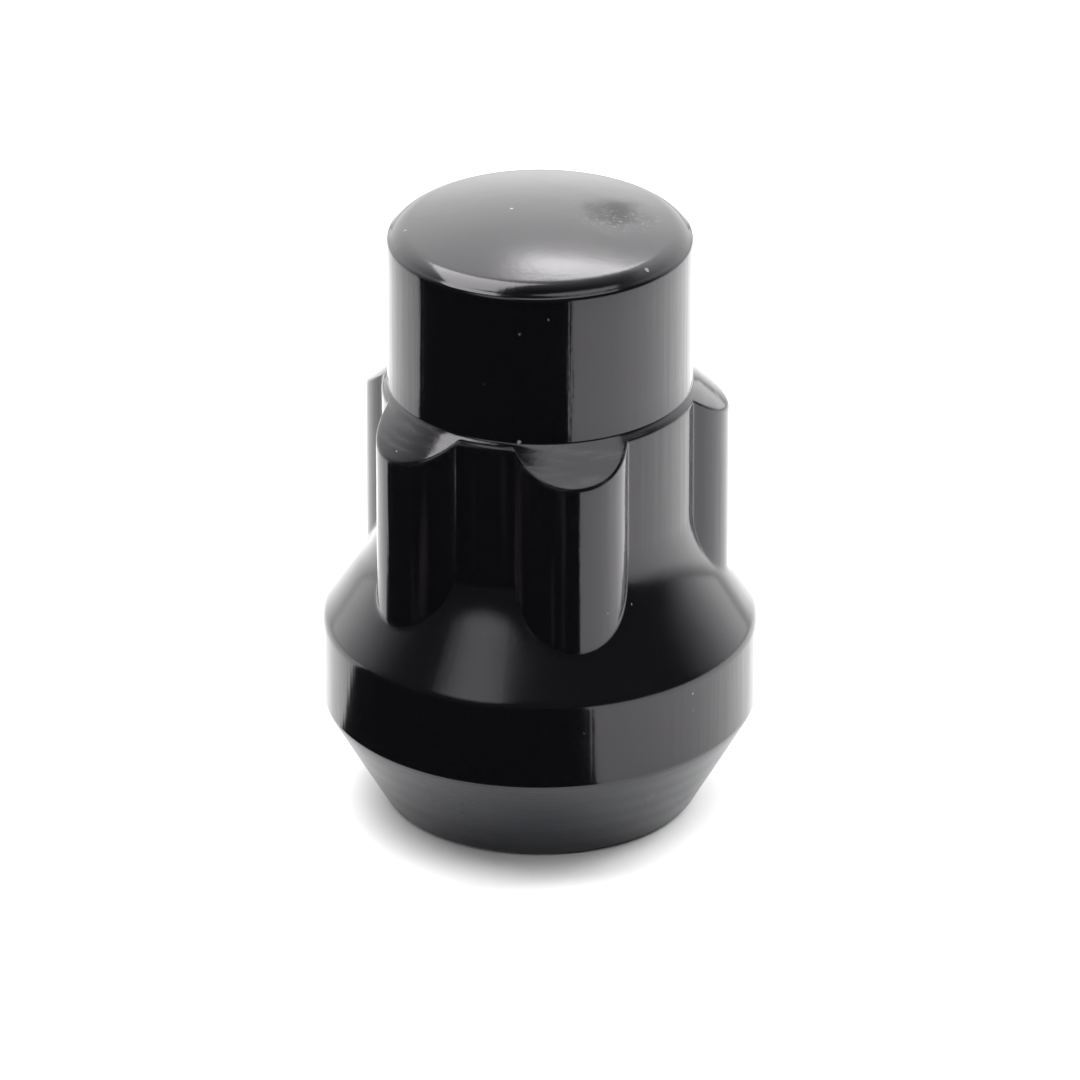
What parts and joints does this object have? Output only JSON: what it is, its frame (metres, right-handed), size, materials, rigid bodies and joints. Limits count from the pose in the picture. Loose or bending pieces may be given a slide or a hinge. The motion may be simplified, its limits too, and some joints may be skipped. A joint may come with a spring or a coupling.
{
  "type": "locking wheel nut",
  "caption": "Closed-end wheel nut with a plain round head, five unevenly spaced round drive splines, a round collar and a 60 degree conical seat around a blind threaded bore.",
  "frame": {"origin": "centre of the flat annular end face around the open bore, which the nut stands on", "axes": "+Z along the nut's axis, from the open threaded end up to the plain round head; -Y through the middle of the spline that has the widest groove on its right when the head is up"},
  "size_m": [0.0254, 0.0254, 0.037],
  "materials": {
    "black_coat": "glossy black coating on turned and forged steel"
  },
  "bodies": {
    "root": {"wheel_nut": "black_coat"}
  },
  "joints": []
}
